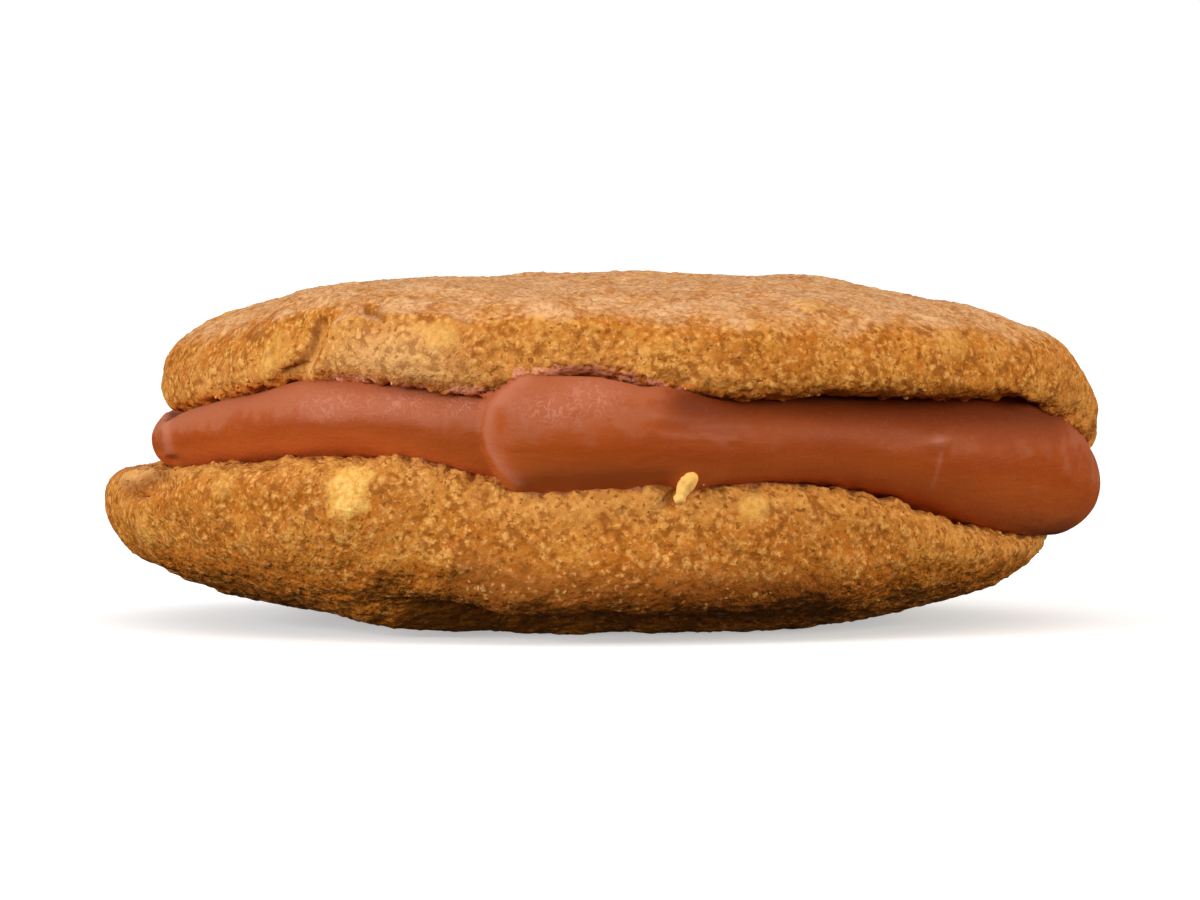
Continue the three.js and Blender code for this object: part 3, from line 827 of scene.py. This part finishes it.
# %% Node helpers
class Tree:
    """A material's node tree, built one node at a time."""

    def __init__(self, name):
        self.material = bpy.data.materials.new(name)
        self.material.use_nodes = True
        self.nodes = self.material.node_tree.nodes
        self.links = self.material.node_tree.links
        self.shader = self.nodes["Principled BSDF"]
        coordinates = self.nodes.new("ShaderNodeTexCoord")
        to_mm = self.nodes.new("ShaderNodeVectorMath")
        to_mm.operation = "SCALE"
        to_mm.inputs["Scale"].default_value = 1 / MM
        self.links.new(coordinates.outputs["Object"], to_mm.inputs[0])
        self.place = to_mm.outputs[0]

    def add(self, kind, inputs=None, **settings):
        node = self.nodes.new(kind)
        for name, value in settings.items():
            setattr(node, name, value)
        for socket, value in (inputs or {}).items():
            self.set(node.inputs[socket], value)
        return node

    def set(self, socket, value):
        if isinstance(value, bpy.types.NodeSocket):
            self.links.new(value, socket)
        else:
            socket.default_value = value

    def noise(self, scale, detail=2.0, roughness=0.5, distortion=0.0, place=None):
        inputs = {"Vector": place or self.place, "Scale": scale, "Detail": detail}
        inputs |= {"Roughness": roughness, "Distortion": distortion}
        return self.add("ShaderNodeTexNoise", inputs).outputs["Fac"]

    def cells(self, scale, place=None, smoothness=0.5):
        node = self.add("ShaderNodeTexVoronoi", feature="SMOOTH_F1")
        self.set(node.inputs["Vector"], place or self.place)
        self.set(node.inputs["Scale"], scale)
        self.set(node.inputs["Smoothness"], smoothness)
        return node.outputs["Distance"]

    def warped(self, amount, scale):
        """Coordinates pushed about by a noise, so that a regular pattern on them looks grown."""
        inputs = {"Vector": self.place, "Scale": scale, "Detail": 2.0}
        offset = self.add("ShaderNodeTexNoise", inputs).outputs["Color"]
        inputs = {0: offset, 1: (amount, amount, amount), 2: self.place}
        return self.add("ShaderNodeVectorMath", inputs, operation="MULTIPLY_ADD").outputs[0]

    def ramp(self, value, low, high, to_low=0.0, to_high=1.0):
        inputs = {"Value": value, "From Min": low, "From Max": high, "To Min": to_low, "To Max": to_high}
        return self.add("ShaderNodeMapRange", inputs, interpolation_type="SMOOTHSTEP").outputs["Result"]

    def math(self, operation, *values):
        node = self.add("ShaderNodeMath", operation=operation)
        for socket, value in zip(node.inputs, values):
            self.set(socket, value)
        return node.outputs[0]

    def mix(self, share, first, second):
        node = self.add("ShaderNodeMix", data_type="RGBA")
        self.set(node.inputs["Factor"], share)
        self.set(node.inputs["A"], first)
        self.set(node.inputs["B"], second)
        return node.outputs["Result"]

    def stretched(self, x, y, z):
        return self.add("ShaderNodeMapping", {"Vector": self.place, "Scale": (x, y, z)}).outputs["Vector"]

    def attribute(self, name):
        return self.add("ShaderNodeAttribute", attribute_name=name).outputs["Fac"]

    def bump(self, height, strength, distance):
        inputs = {"Height": height, "Strength": strength, "Distance": distance}
        return self.add("ShaderNodeBump", inputs).outputs["Normal"]


def colour(red, green, blue):
    """A colour as a screen shows it, from 0 to 255, made linear for the shader."""

    def linear(level):
        share = level / 255
        return share / 12.92 if share <= 0.04045 else ((share + 0.055) / 1.055) ** 2.4

    return (linear(red), linear(green), linear(blue), 1.0)


# %% [markdown]
# ### Baked crumb
#
# The crumb is golden and amber, paler along the broken edge beside the cream and redder underneath,
# with painted shade low at the front of the bottom cookie and dust with a painted sheen, pale and
# mottled, on the upper crown. Here and there it breaks up into clusters of pale grains with painted
# shade in the gaps between them, and small pores show all over. The tops of the relief get painted
# light and its dips painted shade. Oat flakes, the stain beside the cream and its smears lie over it. A
# fine bump adds the grains that are too small for the mesh.

# %% Crumb material
GOLDEN = colour(206, 135, 49)
TOASTED = colour(182, 106, 28)
AMBER = colour(186, 102, 16)
PALE = colour(224, 161, 84)
GRAIN = colour(236, 177, 98)
CROWN_DUST_SHEEN = colour(230, 179, 130)
PIT_AND_SHADE = colour(144, 77, 10)
LOW_FRONT_SHADE = colour(142, 74, 17)
UNDERSIDE = colour(208, 112, 24)
CREASE_SHADE = colour(116, 60, 14)
OAT = colour(244, 192, 104)
OAT_SHADE = colour(224, 158, 66)
OAT_LIGHT = colour(252, 192, 98)
STAIN = colour(160, 92, 62)
SMEAR = colour(240, 162, 126)
PROUD_LIGHT = colour(252, 200, 136)


def baked_crumb(name):
    tree = Tree(name)
    relief = tree.attribute("relief")
    fine = tree.noise(2.2, 3, 0.6)
    base = tree.mix(tree.ramp(tree.noise(0.2, 2), 0.35, 0.65), TOASTED, GOLDEN)
    base = tree.mix(tree.ramp(tree.noise(0.6, 3, 0.6), 0.48, 0.7, 0, 0.6), base, PALE)
    base = tree.mix(tree.ramp(tree.noise(0.35, 3, 0.6), 0.5, 0.36, 0, 0.6), base, AMBER)
    # painted light on the tops of the relief and painted shade in its dips
    base = tree.mix(tree.ramp(relief, 0.03, 0.25, 0, 0.4), base, PALE)
    base = tree.mix(tree.ramp(relief, 0.0, -0.2, 0, 0.6), base, AMBER)
    base = tree.mix(tree.ramp(fine, 0.53, 0.65, 0, 0.7), base, PALE)
    base = tree.mix(tree.ramp(fine, 0.5, 0.38, 0, 0.8), base, TOASTED)
    base = tree.mix(tree.ramp(tree.attribute("cream_distance"), 4.5, 0.5, 0, 0.4), base, PALE)
    # painted light where the dough stands proud, on the lobe and the tip ridge
    base = tree.mix(tree.math("MULTIPLY", tree.attribute("proud_light"), 0.38), base, PROUD_LIGHT)
    base = tree.mix(tree.ramp(tree.attribute("upward"), -0.3, -0.85, 0, 0.6), base, UNDERSIDE)
    # painted shade low at the front of the bottom cookie
    base = tree.mix(tree.math("MULTIPLY", tree.attribute("painted_low_shade"), 0.85), base, LOW_FRONT_SHADE)

    clusters = tree.ramp(tree.noise(0.5, 3, 0.6), 0.4, 0.58)
    grain = tree.cells(1.6, tree.warped(0.9, 1.6))
    grains = tree.math("MULTIPLY", clusters, tree.ramp(grain, 0.4, 0.15, 0, 0.75))
    base = tree.mix(grains, base, GRAIN)
    # dust and a painted sheen on the upper crown
    patchy = tree.ramp(tree.noise(0.35, 3), 0.3, 0.7, -0.16, 0.16)
    crown_dust_sheen = tree.ramp(tree.math("ADD", tree.attribute("upward"), patchy), 0.52, 1.06)
    crown_dust_sheen = tree.math("MULTIPLY", crown_dust_sheen, tree.attribute("dust_and_sheen"))
    mottled_dust_sheen = tree.math("MULTIPLY", crown_dust_sheen, tree.ramp(tree.noise(0.45, 4, 0.65), 0.38, 0.58, 0.5, 1))
    base = tree.mix(tree.math("MULTIPLY", mottled_dust_sheen, tree.ramp(fine, 0.36, 0.6, 0.4, 0.9)), base, CROWN_DUST_SHEEN)

    # painted shade in the gaps between grains and in the dips of the relief, together with the pores
    gap_shade = tree.math("MULTIPLY", clusters, tree.ramp(grain, 0.48, 0.68, 0, 0.75))
    pores = tree.ramp(tree.noise(1.9, 2, 0.6), 0.42, 0.32, 0, 0.9)
    dip_shade = tree.ramp(relief, -0.12, -0.3, 0, 0.4)
    dark = tree.math("MAXIMUM", tree.math("MAXIMUM", gap_shade, pores), dip_shade)
    dark = tree.math("MULTIPLY", dark, tree.ramp(crown_dust_sheen, 0, 1, 1, 0.4))
    dark = tree.math("MULTIPLY", dark, tree.ramp(tree.attribute("proud_light"), 0, 1, 1, 0.7))
    base = tree.mix(dark, base, PIT_AND_SHADE)
    # painted shade in the creases
    base = tree.mix(tree.math("MULTIPLY", tree.attribute("crease_shade"), 0.75), base, CREASE_SHADE)

    frayed = tree.ramp(tree.noise(0.9, 3, 0.55), 0.25, 0.75, -0.3, 0.3)
    ragged = tree.math("ADD", tree.attribute("flake_distance"), frayed)
    flake = tree.math("MULTIPLY", tree.ramp(ragged, 1.15, 0.68), tree.attribute("flake_tone"))
    oat = tree.mix(tree.ramp(tree.noise(1.8, 3), 0.35, 0.65), OAT_SHADE, OAT)
    base = tree.mix(flake, base, oat)

    uneven = tree.ramp(tree.noise(0.7, 3), 0.3, 0.7, -0.3, 0.3)
    touched = tree.ramp(tree.math("ADD", tree.attribute("cream_distance"), uneven), 0.3, 0.0, 0, 0.7)
    torn = tree.ramp(tree.noise(1.0, 3, 0.6), 0.38, 0.56)
    smudged = tree.math("MULTIPLY", tree.attribute("smudge"), torn)
    base = tree.mix(touched, base, STAIN)
    base = tree.mix(tree.ramp(smudged, 0.15, 0.5, 0, 0.85), base, SMEAR)
    tree.set(tree.shader.inputs["Base Color"], base)

    lumpy = tree.math("MULTIPLY", grain, tree.ramp(clusters, 0, 1, -0.1, -0.4))
    rough = tree.math("ADD", tree.noise(2.4, 3, 0.6), lumpy)
    tree.set(tree.shader.inputs["Normal"], tree.bump(rough, 0.8, 0.3 * MM))
    tree.set(tree.shader.inputs["Roughness"], tree.ramp(fine, 0.3, 0.7, 0.85, 0.6))
    tree.shader.inputs["Specular IOR Level"].default_value = 0.15
    return tree.material


crumb = baked_crumb("baked crumb")
for cookie in (top, bottom):
    cookie.data.materials.append(crumb)
print("crumb nodes", len(crumb.node_tree.nodes))


# %% Loose crumb and oat sliver materials
def plain_grain(name, dark, light):
    tree = Tree(name)
    speckled = tree.mix(tree.ramp(tree.noise(1.5, 3), 0.35, 0.65), dark, light)
    tree.set(tree.shader.inputs["Base Color"], speckled)
    tree.set(tree.shader.inputs["Normal"], tree.bump(tree.noise(4, 3), 0.5, 0.15 * MM))
    tree.shader.inputs["Roughness"].default_value = 0.7
    tree.shader.inputs["Specular IOR Level"].default_value = 0.3
    return tree.material


crumbs.data.materials.append(plain_grain("loose crumb", TOASTED, PALE))
sliver.data.materials.append(plain_grain("oat", OAT, OAT_LIGHT))

# %% [markdown]
# ### Spread cream
#
# The cream is a satin chocolate brown, with a little light passing under its skin. Its upper side is
# dulled by a pinkish bloom, strongest in wrinkled patches, over a painted sheen of light from above, and
# its lower side gets a painted warm glow of light from below. The contour of its nose gets a painted
# highlight, and under the lip of the top cookie a painted shadow makes it darkest.

# %% Cream material
CREAM_BROWN = colour(168, 77, 22)
CREAM_DEEP = colour(157, 66, 14)
CREAM_SHADE = colour(110, 44, 10)
CREAM_PAINTED_GLOW = colour(192, 94, 40)
CREAM_BLOOM_SHEEN = colour(168, 91, 56)
PALE_BLOOM_HIGHLIGHT = colour(194, 120, 92)


def spread_cream(name):
    tree = Tree(name)
    soft = tree.noise(1.0, 3, 0.5, 0.0, tree.stretched(0.12, 0.12, 0.5))
    base = tree.mix(tree.ramp(soft, 0.3, 0.7), CREAM_DEEP, CREAM_BROWN)
    # painted warm glow on the lower side, standing in for light from below
    base = tree.mix(tree.ramp(tree.attribute("upward"), -0.15, -0.8, 0, 0.9), base, CREAM_PAINTED_GLOW)
    streaks = tree.ramp(soft, 0.3, 0.7, -0.2, 0.2)
    blotches = tree.ramp(tree.noise(0.55, 4, 0.65), 0.3, 0.7, -0.3, 0.3)
    uneven = tree.math("ADD", streaks, blotches)
    lifted = tree.math("ADD", tree.attribute("upward"), uneven)
    lit = tree.math("SUBTRACT", lifted, tree.attribute("lip_shade"))
    # painted sheen of light from above on the upper side, with the dull bloom
    sheen_and_bloom = tree.ramp(lit, -0.15, 0.5, 0, 0.85)
    off_line = tree.math("ABSOLUTE", tree.math("SUBTRACT", tree.noise(1.4, 2, 0.5, 0.6), 0.5))
    wrinkles = tree.ramp(off_line, 0.07, 0.0)
    bloom = tree.math("MULTIPLY", tree.attribute("bloom"), tree.ramp(wrinkles, 0, 1, 0.35, 1))
    base = tree.mix(sheen_and_bloom, base, CREAM_BLOOM_SHEEN)
    base = tree.mix(bloom, base, PALE_BLOOM_HIGHLIGHT)
    # painted highlight on the nose's contour, with the pale fold, lump, trail and streaks
    base = tree.mix(tree.math("MULTIPLY", tree.attribute("edge_highlight_and_pale_marks"), 0.5), base, PALE_BLOOM_HIGHLIGHT)
    # painted shadow under the lip of the top cookie
    base = tree.mix(tree.math("MULTIPLY", tree.attribute("lip_shade"), 0.95), base, CREAM_SHADE)
    base = tree.mix(tree.ramp(tree.noise(4, 2), 0.6, 0.75, 0, 0.25), base, CREAM_BLOOM_SHEEN)
    tree.set(tree.shader.inputs["Base Color"], base)

    drawn = tree.noise(1.0, 3, 0.55, 0.4, tree.stretched(0.25, 0.25, 1.2))
    grainy = tree.math("MULTIPLY", tree.noise(4, 2), 0.2)
    fine = tree.math("ADD", grainy, tree.math("MULTIPLY", drawn, 0.5))
    rough = tree.math("MULTIPLY", wrinkles, tree.math("MULTIPLY", tree.attribute("bloom"), 0.25))
    tree.set(tree.shader.inputs["Normal"], tree.bump(tree.math("ADD", fine, rough), 0.5, 0.3 * MM))
    tree.set(tree.shader.inputs["Roughness"], tree.ramp(lifted, -0.1, 0.55, 0.5, 0.65))
    tree.shader.inputs["Specular IOR Level"].default_value = 0.16
    tree.shader.inputs["Subsurface Weight"].default_value = 0.2
    tree.shader.inputs["Subsurface Radius"].default_value = (1.0, 0.45, 0.25)
    tree.shader.inputs["Subsurface Scale"].default_value = 1.0 * MM
    return tree.material


cream.data.materials.append(spread_cream("spread cream"))

# %% [markdown]
# ## Table, backdrop and light
#
# The photo has a plain white ground. A wide sheet of paper that rises gently all round, like a very
# shallow dish, gives that from every side with no edge in sight. It doesn't throw light back on the
# pie, because the photo's underside is dark. The light is soft: a white sky above, a key light from
# the front left, a warmer fill from the right, and a weak low light from the front that keeps the
# belly of the cream from going black.

# %% Paper
PAPER_HALF = 1.6
PAPER_FLAT = 0.15
PAPER_RISE_RADIUS = 5.0
PAPER_GRID = 120
PAPER_TONES = (colour(246, 246, 245), colour(250, 250, 249))
PAPER_GLOW = 0.4

bpy.ops.object.select_all(action="DESELECT")
bpy.ops.mesh.primitive_grid_add(x_subdivisions=PAPER_GRID, y_subdivisions=PAPER_GRID, size=2 * PAPER_HALF)
paper = bpy.context.object
paper.name = "paper"
sheet = vertices_of(paper)
beyond = np.maximum(np.hypot(sheet[:, 0], sheet[:, 1]) - PAPER_FLAT, 0)
sheet[:, 2] = beyond**2 / (2 * PAPER_RISE_RADIUS)
paper.data.vertices.foreach_set("co", sheet.ravel())
bpy.ops.object.shade_smooth()
paper.visible_diffuse = False
paper.visible_glossy = False
white = Tree("white paper")
white_tone = white.mix(white.noise(0.4, 2), *PAPER_TONES)
white.set(white.shader.inputs["Base Color"], white_tone)
white.shader.inputs["Roughness"].default_value = 0.9
white.shader.inputs["Emission Color"].default_value = (1, 1, 1, 1)
white.shader.inputs["Emission Strength"].default_value = PAPER_GLOW
paper.data.materials.append(white.material)

# %% Sky and lights
SKY_ABOVE = 0.72
SKY_BELOW = 0.03
SKY_FROM = -0.05
SKY_TO = 0.5
WARM = (1, 0.93, 0.8)

scene = bpy.context.scene
scene.view_settings.view_transform = "Standard"
world = bpy.data.worlds.new("studio")
scene.world = world
world.use_nodes = True
sky = world.node_tree
direction = sky.nodes.new("ShaderNodeTexCoord")
upright = sky.nodes.new("ShaderNodeSeparateXYZ")
strength = sky.nodes.new("ShaderNodeMapRange")
strength.inputs["From Min"].default_value = SKY_FROM
strength.inputs["From Max"].default_value = SKY_TO
strength.inputs["To Min"].default_value = SKY_BELOW
strength.inputs["To Max"].default_value = SKY_ABOVE
sky.links.new(direction.outputs["Generated"], upright.inputs["Vector"])
sky.links.new(upright.outputs["Z"], strength.inputs["Value"])
sky.links.new(strength.outputs["Result"], sky.nodes["Background"].inputs["Strength"])
sky.nodes["Background"].inputs["Color"].default_value = (1, 1, 1, 1)


def soft_light(name, place, size, power, tint=(1, 1, 1)):
    bpy.ops.object.light_add(type="AREA", location=place)
    light = bpy.context.object
    light.name = name
    light.data.size = size
    light.data.energy = power
    light.data.color = tint
    light.rotation_euler = (aim - Vector(place)).to_track_quat("-Z", "Y").to_euler()


soft_light("key", place=(-0.6, -0.42, 0.14), size=0.35, power=6.0)
soft_light("fill", place=(0.66, -0.3, 0.1), size=0.45, power=5.3, tint=WARM)
soft_light("low front", place=(0.12, -0.7, 0.04), size=0.3, power=1.0)

# %% Hand over to the frame
PIECES = {
    top: ("top_cookie", "crumb"),
    bottom: ("bottom_cookie", "crumb"),
    cream: ("cream_filling", "cream"),
}
for piece, (node, slot) in PIECES.items():
    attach(piece, "root")
    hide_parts(node)
for piece in (crumbs, sliver):
    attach(piece, "root")
